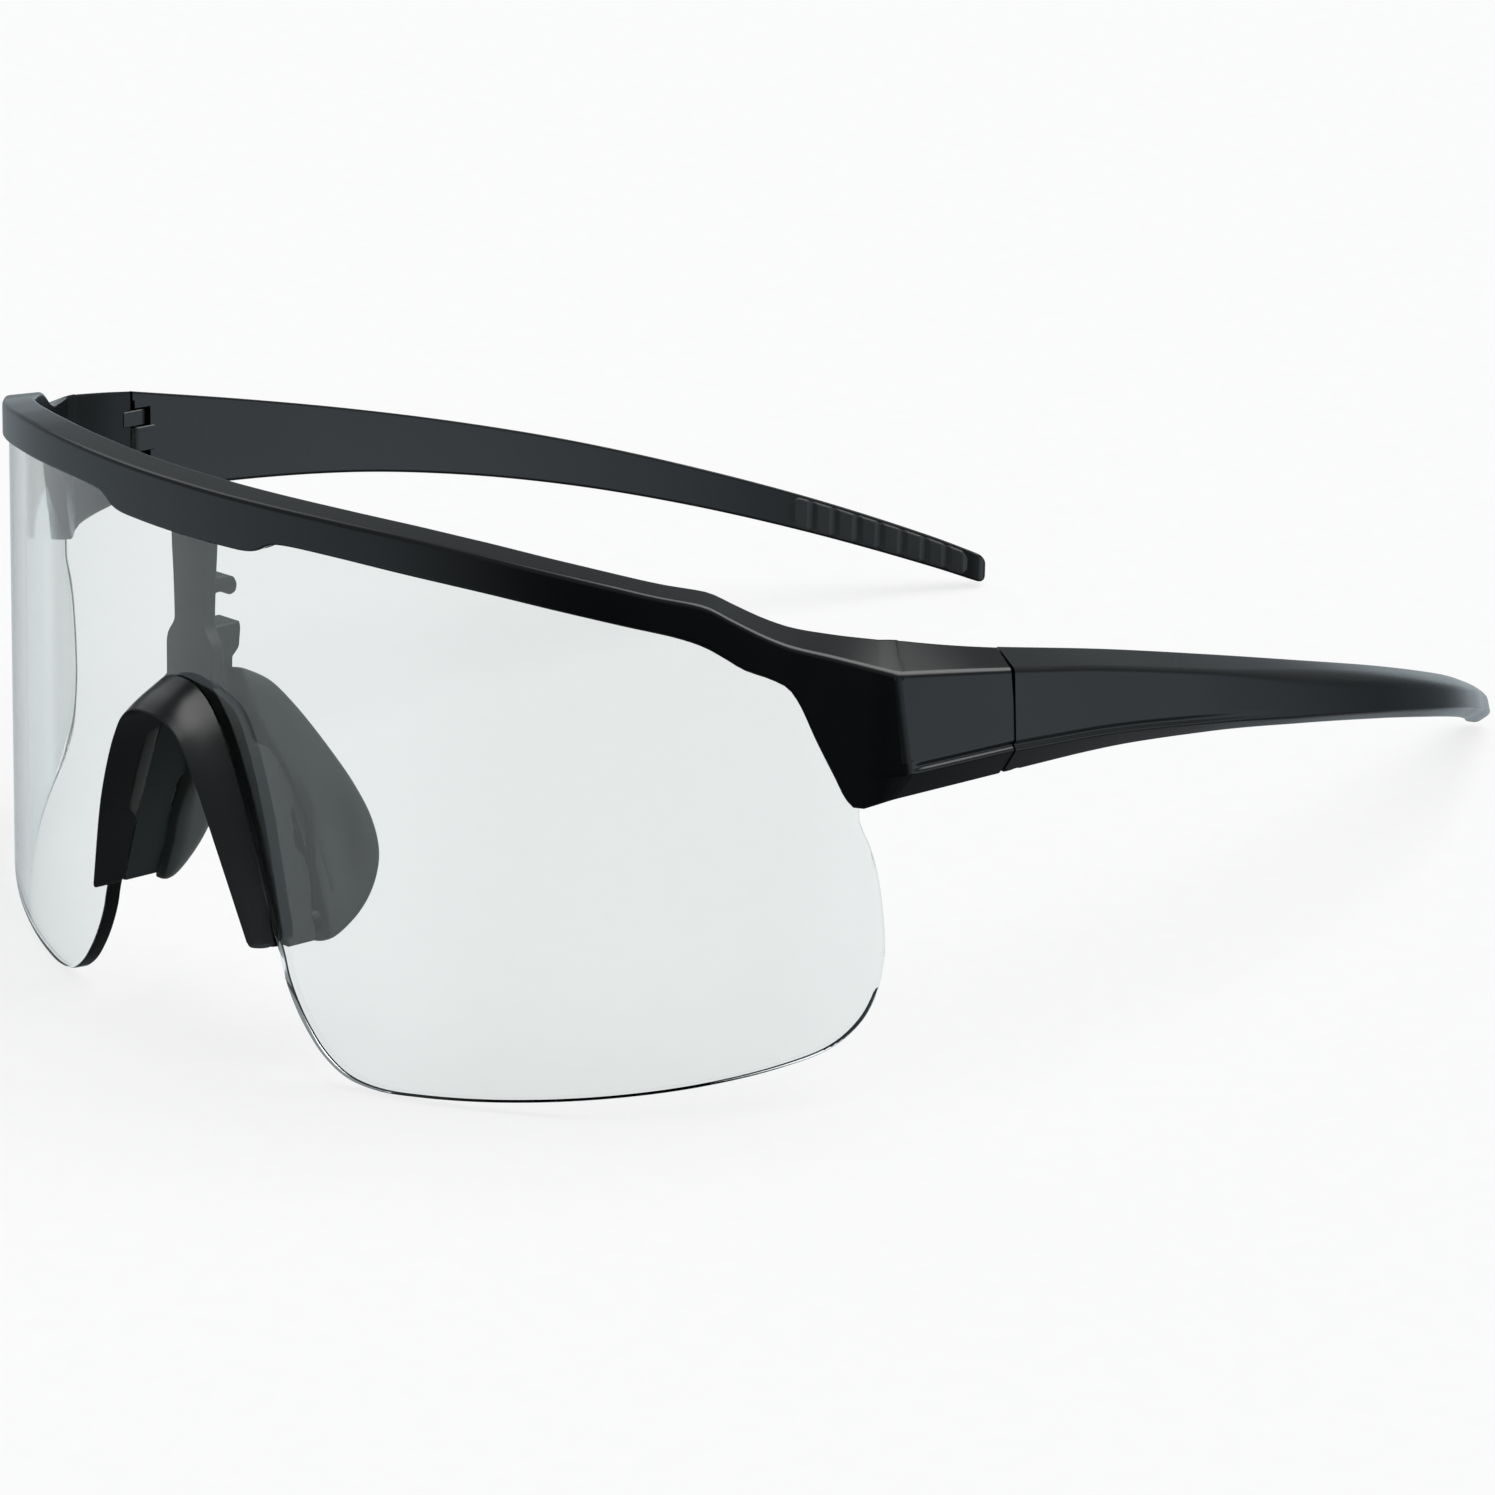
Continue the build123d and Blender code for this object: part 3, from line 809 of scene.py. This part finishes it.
TEMPLE_AT = temple_frame()
TOP_WIDTH = graph([(0, 3.95), (16, 3.85), (48, 3.3), (80, 2.75), (119.6, 2.4)])
TOP_DROP = graph([(0, 1.4), (32, 1.3), (60, 1.0), (119.6, 0.7)])
SIDE_WIDTH = graph([(0, 4.8), (12, 4.7), (32, 4.2), (50, 3.8), (80, 3.3), (119.6, 2.9)])
SIDE_RISE = graph([(0, 2.6), (12, 2.2), (25, 1.7), (45, 1.2), (80, 1.1), (119.6, 1.1)])
LOW_WIDTH = graph([(0, 2.0), (20, 1.7), (45, 1.6), (119.6, 1.4)])
LOW_DROP = graph([(0, 0.7), (20, 0.35), (45, 0.15), (119.6, 0.1)])
TOP_ROUND = graph([(0, 0.5), (28, 0.55), (50, 1.4), (119.6, 1.2)])
GROOVE = graph([(0, GROOVE_DEPTH), (22, 0.28), (44, 0.0), (119.6, 0.0)])
SLANT = 1.55                         # the front end slants outwards and forwards
STATION_GAP = 1.6                    # between the temple's sections
TIP_REACH = 1.3                      # length of the rounded end


def temple_section(s):
    """Ring round the temple at this distance, with the same edge names as the front."""
    at, out, along, z_up, z_low = TEMPLE_AT(s)
    lead = max(0.0, 1 - s / 10.0)

    def spot(width, z):
        return at + out * width - along * (SLANT * lead * width / 4.0) + Vector((0, 0, z))
    R = spot(-0.1, z_up)
    T = spot(TOP_WIDTH(s), z_up - TOP_DROP(s))
    P = spot(SIDE_WIDTH(s), z_low + SIDE_RISE(s))
    up = (T - P).normalized()
    p1 = P + up * GROOVE_SPAN
    p2 = P + up * GROOVE_SPAN * 0.5 - out * GROOVE(s)
    L = spot(LOW_WIDTH(s), z_low - LOW_DROP(s))
    K = spot(-0.1, z_low)
    radii = [TOP_ROUND(s), 0.2, 0.22, 0.3 + 0.4 * ease((s - 30) / 20), 0.5, 0.45, 0.45]
    return rounded([T, p1, p2, P, L, K, R], radii, 4)


def temple_rings():
    """Sections to the tip, then a rounded end."""
    stations = [0.0, 1.0, 2.5]
    s = 4.0
    while s < TEMPLE_END - STATION_GAP:
        stations.append(s)
        s += STATION_GAP
    rings = [temple_section(s) for s in stations]
    for n in range(1, 10):
        turn = n * pi / 18
        ring = temple_section(TEMPLE_END - TIP_REACH + TIP_REACH * sin(turn))
        middle = sum(ring, Vector()) / len(ring)
        k = 0.4 + 0.6 * cos(turn)
        rings.append([middle + (p - middle) * k for p in ring])
    return rings


GRIP_FROM, GRIP_TO = 93.6, 117.0
GRIP_PADS = 8
GRIP_STEP = 0.2                      # between the grip's sections


def grip_rings():
    """Rubber inlay in the inner face: a low bed with raised pads between narrow grooves."""
    rings = []
    s = GRIP_FROM
    pitch = (GRIP_TO - GRIP_FROM) / GRIP_PADS
    while s <= GRIP_TO + 1e-6:
        at, out, along, z_up, z_low = TEMPLE_AT(s)
        share = ((s - GRIP_FROM) / pitch) % 1.0
        edge = min(share, 1 - share) * pitch
        raised = 0.06 + 0.32 * ease((edge - 0.22) / 0.35)
        ahead = 0.9 * (1 - ease((s - GRIP_FROM) / 1.6)) ** 2
        margin = 0.42 + ahead + 0.5 * (1 - ease((GRIP_TO - s) / 1.2)) ** 2
        if s == GRIP_FROM or s > GRIP_TO - 1e-3:
            raised = 0.0
        top, low = z_up - margin, z_low + margin
        face = at - out * (0.1 + raised)
        back = at + out * 0.8
        ring = [Vector((face.x, face.y, top)), Vector((face.x, face.y, low)),
                Vector((back.x, back.y, low)), Vector((back.x, back.y, top))]
        rings.append(rounded(ring, [0.35, 0.35, 0.05, 0.05], 4))
        s += GRIP_STEP
    return rings


def make_temples():
    x, y = HINGE.x, HINGE.y
    gap = KNUCKLE_GAP
    knuckle_low = FRAME_KNUCKLES[0][0]

    def room(y_end, bottom, top):
        """Space inboard of the temple's outer wall."""
        return block((66.0, 44.0, bottom), (TEMPLE_WALL_X, y_end, top), 0.02)
    cuts = [room(y + KNUCKLE_R + gap, low - gap, high + gap) for low, high in FRAME_KNUCKLES]
    cuts.append(room(49.2, -16.9, -10.0))
    cuts.append(room(y - KNUCKLE_R - 0.1, -24.0, knuckle_low))
    # a screwdriver reaches the screw's head from below
    cuts.append(round_plan((x, y), 1.25, -26.0, knuckle_low))
    rings = temple_rings()
    tongue = knuckle(TONGUE[0], TONGUE[1], 52.0)
    for name, flip in (("left", same), ("right", mirror)):
        temple = loft("temple_arm_" + name, [flip(rings)])
        carve(temple, [flip(c) for c in cuts])
        # the tongue between the frame's knuckles
        pin = loft("tongue_" + name, [flip(tongue)])
        carve(pin, [flip(round_plan((x, y), 0.65, -18.0, -12.0))])
        join(temple, pin)
        settle(temple, "temple_" + name, "frame_plastic", MATERIALS["frame_plastic"],
               "temple_" + name)
        grip = loft("grip_inlay_" + name, [flip(grip_rings())], 50.0)
        settle(grip, "temple_" + name, "grip_rubber", MATERIALS["grip_rubber"],
               "temple_grip_" + name)


# ---- nose cover and bracket ----
COVER_OUTER = [(0, -19.0), (2.4, -19.4), (4.4, -20.8), (6.1, -22.9), (7.6, -25.7), (9.0, -28.9),
               (11.8, -37.0), (14.1, -45.7)]
# the cover's front edge, in space, which is also the outline of the nose opening
RIDGE = [(0, -5.0, -22.2), (2.6, -4.95, -22.5), (4.6, -4.7, -23.8), (6.0, -4.5, -25.9),
         (7.2, -4.3, -28.3), (9.5, -3.7, -34), (13.2, -2.0, -45.3)]


def paired(outer, inner):
    """Each point of outer with the point at the same share along inner."""
    last = len(inner) - 1
    pairs = []
    for n, a in enumerate(outer):
        k = n / (len(outer) - 1) * last
        i = min(int(k), last - 1)
        pairs.append((a, inner[i].lerp(inner[i + 1], k - i)))
    return pairs


def cover_rings():
    """Sections of the hood: A outer edge on the lens, B front edge, D rear inner edge."""
    outer = walk(from_middle(COVER_OUTER), 0.7)
    ridge = walk(from_middle(RIDGE, 24), 0.7)
    rings = []
    for a, B in paired(outer, ridge):
        A = lens_point(a.x, a.y, SLOT_GAP)
        D = Vector((B.x, 1.9 + 0.03 * B.x, B.z))
        toward = Vector((A.x - B.x, 0, A.z - B.z)).normalized()
        E = D + toward * 1.0
        F = Vector((E.x, A.y + 0.3, E.z))
        # the outer face is crowned between the lens and the front edge
        rise = 0.16
        crown = A.lerp(B, 0.6) + Vector((toward.x * rise, -rise, toward.z * rise))
        rings.append(rounded([A, crown, B, D, E, F], [0.2, 1.2, 0.35, 0.2, 0.1, 0.1], 5))
    return soft_ends(whole(rings), 0.55)


BRACKET_OUTER = [(0, -18.2), (2.6, -18.8), (4.7, -20.4), (6.5, -22.6), (8.0, -25.4), (9.4, -28.6),
                 (12.2, -36.8), (14.9, -45.8)]
BRACKET_REAR = graph([(0, 4.2), (3, 4.3), (7.5, 4.4), (7.9, 5.2), (8.3, 7.0), (9.4, 7.7),
                      (10.2, 7.8), (10.9, 6.7), (11.9, 6.5), (12.3, 7.4), (13.0, 7.5), (14, 7.0)])


def bracket_rings():
    """Sections of the arch behind the lens; its rear edge has a notch in each leg."""
    outer = walk(from_middle(BRACKET_OUTER), 0.5)
    inner = walk(from_middle(RIDGE, 24), 0.7)
    rings = []
    for a, b in paired(outer, inner):
        rear = BRACKET_REAR(a.x)
        front_outer = lens_point(a.x, a.y, -LENS_T - SLOT_GAP)
        front_inner = Vector((b.x, 1.92 + 0.03 * b.x, b.z))
        back_inner = Vector((b.x, max(rear + 0.3, 5.5), b.z))
        back_outer = Vector((a.x, rear, a.y)).lerp(Vector((b.x, rear, b.z)), 0.12)
        rings.append(rounded([front_outer, front_inner, back_inner, back_outer],
                             [0.2, 0.15, 0.3, 0.4], 3))
    return soft_ends(whole(rings), 0.45)


def stem_rings():
    """Level sections of the stem, from the arch up into the brow."""
    width = graph([(-21.5, 3.85), (-16.4, 3.85), (-15.4, 3.7), (-13.2, 2.45), (-9, 2.6),
                   (-3.6, 2.9), (1.0, 2.9)])
    front = LENS_T + SLOT_GAP
    back = 3.5
    rings = []
    z = -21.5
    while z <= 0.6:
        w = width(z)
        edge = lens_y(w) + (front + 0.02)
        ring = [Vector((-w, edge, z)), Vector((0, front, z)), Vector((w, edge, z)),
                Vector((w, back, z)), Vector((-w, back, z))]
        rings.append(rounded(ring, [0.15, 0.5, 0.15, 0.3, 0.3], 3))
        z += 0.4
    return rings


def stud_rings(side):
    """Small stud beside the foot of one leg."""
    centre = Vector((13.6 * side, 7.3, -43.3))
    rings = []
    for n in range(1, 8):
        a = pi * n / 8
        r = 0.55 * sin(a)
        y = 0.75 * cos(a)
        ring = []
        for k in range(12):
            turn = 2 * pi * k / 12
            ring.append(centre + Vector((r * cos(turn), y, r * sin(turn))))
        rings.append(ring)
    return rings


def make_bracket():
    hook = [(3.0, -8.6), (4.6, -8.7), (6.1, -8.7), (6.9, -9.0), (7.3, -9.8), (7.15, -10.6),
            (6.5, -10.9), (5.9, -10.7), (5.7, -10.3), (4.3, -10.4), (3.6, -11.2), (3.0, -11.3)]
    clip = [(3.0, -13.9), (7.2, -13.7), (7.3, -14.4), (7.2, -16.4), (6.8, -17.0), (6.3, -17.5),
            (6.2, -21.5), (3.0, -21.5)]
    ledge = [(5.0, -17.2), (6.7, -17.2), (6.7, -18.0), (5.0, -18.0)]
    sets = [bracket_rings(), stem_rings(), side_plate(hook, -1.2, 1.2),
            side_plate(clip, -1.7, 1.7), side_plate(ledge, -1.2, 1.2, 0.1, 0.15),
            stud_rings(1), stud_rings(-1)]
    bracket = loft("nose_arch_bracket", sets)
    settle(bracket, "front", "bracket_plastic", MATERIALS["bracket_plastic"], "nose_bracket")


def make_cover():
    cover = loft("nose_arch_cover", [cover_rings()])
    settle(cover, "front", "cover_plastic", MATERIALS["cover_plastic"], "nose_cover")


# ---- nose pads: drawn flat, x towards the face and y down the nose ----
PAD_AT = Vector((12.5, 7.0, -38.0))
PAD_BACK = Vector((0.342, 0.94, 0))
PAD_DOWN = Vector((0.259, -0.094, -0.961))
PAD_FACE = Vector((-0.903, 0.329, -0.276))     # towards the nose
PAD_EDGE = [(-6.7, -21.2), (-5, -21.4), (-3.6, -20.9), (-1.6, -19.7), (0.9, -16.8), (4.5, -11.4),
            (6.5, -7.9), (8, -4.3), (8.5, -0.9), (8, 1.7), (6.7, 4.3), (4.7, 6.5), (2.1, 8.1),
            (0.2, 7.7), (-0.2, 2.9), (-0.7, -0.1), (-0.5, -5.2), (-2, -8.7), (-4.3, -12.9),
            (-6, -17.8)]
PAD_FRONT = PAD_EDGE[13:] + PAD_EDGE[:1]       # the edge that meets the bracket
PAD_THICK = 2.6
PAD_MID = PAD_THICK * 0.48           # height of the rim
PAD_CROWN = 0.5                      # how far the nose side bulges, and rounds off at the rim
ROLL_FROM = 0.94                     # share of the way to the rim where the faces roll over


def pad_rings():
    """Soft leaf: a rounded rim, a crowned nose side and a hollow in the outer side."""
    edge = through(PAD_EDGE, 5, closed=True)
    spine_low, spine_high = Vector((2.9, 3.5)), Vector((-4.6, -18.5))

    def spine(p):
        line = spine_high - spine_low
        t = min(max((p - spine_low).dot(line) / line.dot(line), 0.0), 1.0)
        t = 0.04 + 0.92 * t
        bow = Vector((1.3, 0.5)) * sin(pi * t)
        return spine_low + line * t + bow

    front = [Vector(p) for p in PAD_FRONT]

    def from_front(p):
        """Distance from the edge that meets the bracket."""
        near = []
        for a, b in zip(front[:-1], front[1:]):
            t = min(max((p - a).dot(b - a) / (b - a).length_squared, 0.0), 1.0)
            near.append((p - a.lerp(b, t)).length)
        return min(near)

    def height(p, k, upper):
        """Distance along the pad's normal; k is 1 on the rim and 0 on the spine."""
        crown = 1 - k ** 4
        if upper:
            return PAD_THICK - PAD_CROWN * (1 - crown) + PAD_CROWN * crown
        from_hollow = p - Vector((4.4, -1.8))
        hollow = 0.75 * 2.718 ** (-(from_hollow.x / 2.0) ** 2 - (from_hollow.y / 5.0) ** 2)
        shoulder = 1.5 * (1 - ease((from_front(p) - 0.4) / 1.7))
        return 0.35 * (1 - crown) + hollow + shoulder
    rings = []
    shares = [0.008, 0.12, 0.25, 0.36, 0.46, 0.55, 0.63, 0.70, 0.76, 0.82, 0.87, 0.92, 0.96, 0.99]
    # up the nose side, over the rim and back down the outer side
    levels = [(k, True) for k in shares] + [(1.0, None)]
    levels += [(k, False) for k in reversed(shares)]
    for k, upper in levels:
        ring = []
        for p in edge:
            q = spine(p).lerp(p, k)
            h = PAD_MID if upper is None else height(q, k, upper)
            if upper is not None and k > ROLL_FROM:
                roll = (k - ROLL_FROM) / (1 - ROLL_FROM)
                h = mix(h, PAD_MID, 0.55 * roll ** 2)
            ring.append(PAD_AT + PAD_BACK * q.x + PAD_DOWN * q.y + PAD_FACE * h)
        rings.append(ring)
    return rings


def make_pads():
    for name, flip in (("left", same), ("right", mirror)):
        pad = loft("nose_pad_leaf_" + name, [flip(pad_rings())], 60.0)
        settle(pad, "front", "pad_rubber", MATERIALS["pad_rubber"], "nose_pad_" + name)


# ---- carried-over CAD nodes ----
def finish_cad_nodes():
    finishes = {"nose_pad_core": "bracket_plastic", "hinge_screw": "screw_steel",
                "hinge_insert": "insert_brass"}
    for node, slot in finishes.items():
        for side in ("_left", "_right"):
            obj = frame["nodes"][node + side]
            obj.data.materials.clear()
            obj.data.materials.append(MATERIALS[slot])


# ---- studio ----
CAMERA_AZ, CAMERA_EL, CAMERA_ROLL = 47.727, 20.017, -2.705
CAMERA_AT = Vector((0.49826, -0.45023, 0.25562))
FOCAL = 150.87
SHIFT_X = 0.0046


def make_camera():
    data = bpy.data.cameras.new("camera")
    data.lens = FOCAL
    data.sensor_width = 36.0
    data.shift_x = SHIFT_X
    data.clip_start = 0.01
    camera = bpy.data.objects.new("camera", data)
    scene.collection.objects.link(camera)
    turn = Matrix.Rotation(radians(CAMERA_AZ), 4, "Z")
    turn @= Matrix.Rotation(radians(90 - CAMERA_EL), 4, "X")
    turn @= Matrix.Rotation(radians(CAMERA_ROLL), 4, "Z")
    camera.matrix_world = Matrix.Translation(CAMERA_AT) @ turn
    scene.camera = camera


def make_floor():
    mesh = bpy.data.meshes.new("floor")
    half = 4.0
    corners = [(-half, -half, 0), (half, -half, 0), (half, half, 0), (-half, half, 0)]
    mesh.from_pydata(corners, [], [(0, 1, 2, 3)])
    floor = bpy.data.objects.new("floor", mesh)
    scene.collection.objects.link(floor)
    floor.visible_glossy = False
    material, tree, shader = new_material("floor_paper")
    grain = noise(tree, 300.0)
    tree.links.new(tones(tree, grain, (0.135, 0.135, 0.135), (0.145, 0.145, 0.145)),
                   shader.inputs["Base Color"])
    shader.inputs["Roughness"].default_value = 0.9
    shader.inputs["Specular IOR Level"].default_value = 0.1
    shader.inputs["Emission Color"].default_value = (1, 1, 1, 1)
    shader.inputs["Emission Strength"].default_value = 0.78
    mesh.materials.append(material)


# brightness of the studio at and below the horizon, by direction in plan, in degrees: 0 is in
# front of the glasses and 90 is at the wearer's left
HORIZON = [(-180, 0.13), (-170, 0.18), (-163, 0.26), (-155, 1.1), (-147, 0.9), (-136, 0.8),
           (-112, 0.42), (-90, 0.42), (-45, 0.68), (-15, 0.6), (8, 0.02), (52, 0.02),
           (68, 0.5), (84, 0.85), (112, 1.1), (132, 1.1), (149, 0.38), (171, 0.13)]
HORIZON_TINT = (0.87, 0.99, 1.06)
CEILING = (0.25, 0.27, 0.28, 1)
GROUND = (0.10, 0.105, 0.11, 1)
BACKDROP = (0.93, 0.93, 0.93, 1)       # what the camera itself sees
SOFTBOX_AT = (0.33, 0.32, 0.888)       # towards the overhead softbox
SOFTBOX_EDGE = (radians(22), radians(36))
SOFTBOX = (4.6, 4.6, 4.6, 1)
FAR_LIGHT_AT = (-0.754, 0.17, 0.635)   # towards a smaller light, high at the wearer's right
FAR_LIGHT_EDGE = (radians(10), radians(20))
FAR_LIGHT = (1.3, 1.35, 1.4, 1)


def make_world():
    """Studio light painted on the world: horizon, ceiling, two lights and a dim ground."""
    world = bpy.data.worlds.new("studio")
    scene.world = world
    world.use_nodes = True
    tree = world.node_tree
    nodes, links = tree.nodes, tree.links
    background = nodes["Background"]
    where = nodes.new("ShaderNodeTexCoord")
    split = nodes.new("ShaderNodeSeparateXYZ")
    links.new(where.outputs["Generated"], split.inputs["Vector"])

    def maths(operation, a, b=None):
        node = nodes.new("ShaderNodeMath")
        node.operation = operation
        for socket, value in zip(node.inputs, (a, b)):
            if value is None:
                continue
            if isinstance(value, (int, float)):
                socket.default_value = value
            else:
                links.new(value, socket)
        return node.outputs["Value"]
    back = maths("MULTIPLY", split.outputs["Y"], -1.0)
    azimuth = maths("ARCTAN2", split.outputs["X"], back)
    share = maths("ADD", maths("DIVIDE", azimuth, 2 * pi), 0.5)
    ramp = nodes.new("ShaderNodeValToRGB")
    ramp.color_ramp.interpolation = "EASE"
    points = ramp.color_ramp.elements
    for n, (angle, level) in enumerate(HORIZON):
        at = (angle + 180) / 360
        point = points[n] if n < 2 else points.new(at)
        point.position = at
        point.color = (*[level * share_of for share_of in HORIZON_TINT], 1)
    links.new(share, ramp.inputs["Fac"])

    def step_up(value, low, high):
        """0 below low, 1 above high, smooth between."""
        node = nodes.new("ShaderNodeMapRange")
        node.interpolation_type = "SMOOTHSTEP"
        node.inputs["From Min"].default_value = low
        node.inputs["From Max"].default_value = high
        links.new(value, node.inputs["Value"])
        return node.outputs["Result"]

    def above(low, high):
        """Changes from 0 to 1 between two heights in the sky, in degrees."""
        return step_up(split.outputs["Z"], sin(radians(low)), sin(radians(high)))

    def inside(at, edges):
        """1 inside a round light in this direction, falling to 0 over its edge."""
        aim = nodes.new("ShaderNodeVectorMath")
        aim.operation = "DOT_PRODUCT"
        aim.inputs[1].default_value = at
        links.new(where.outputs["Generated"], aim.inputs[0])
        return step_up(aim.outputs["Value"], cos(edges[1]), cos(edges[0]))

    def blend(factor, a, b):
        node = nodes.new("ShaderNodeMix")
        node.data_type = "RGBA"
        links.new(factor, node.inputs["Factor"])
        for socket, value in ((node.inputs["A"], a), (node.inputs["B"], b)):
            if isinstance(value, tuple):
                socket.default_value = value
            else:
                links.new(value, socket)
        return node.outputs["Result"]
    sky = blend(above(-6, 8), ramp.outputs["Color"], CEILING)
    sky = blend(inside(SOFTBOX_AT, SOFTBOX_EDGE), sky, SOFTBOX)
    sky = blend(inside(FAR_LIGHT_AT, FAR_LIGHT_EDGE), sky, FAR_LIGHT)
    sky = blend(above(-40, -28), GROUND, sky)
    rays = nodes.new("ShaderNodeLightPath")
    seen = blend(rays.outputs["Is Camera Ray"], sky, BACKDROP)
    links.new(seen, background.inputs["Color"])


make_lens()
make_front()
make_temples()
make_cover()
make_bracket()
make_pads()
finish_cad_nodes()
make_camera()
make_floor()
make_world()
scene.view_settings.view_transform = "Standard"
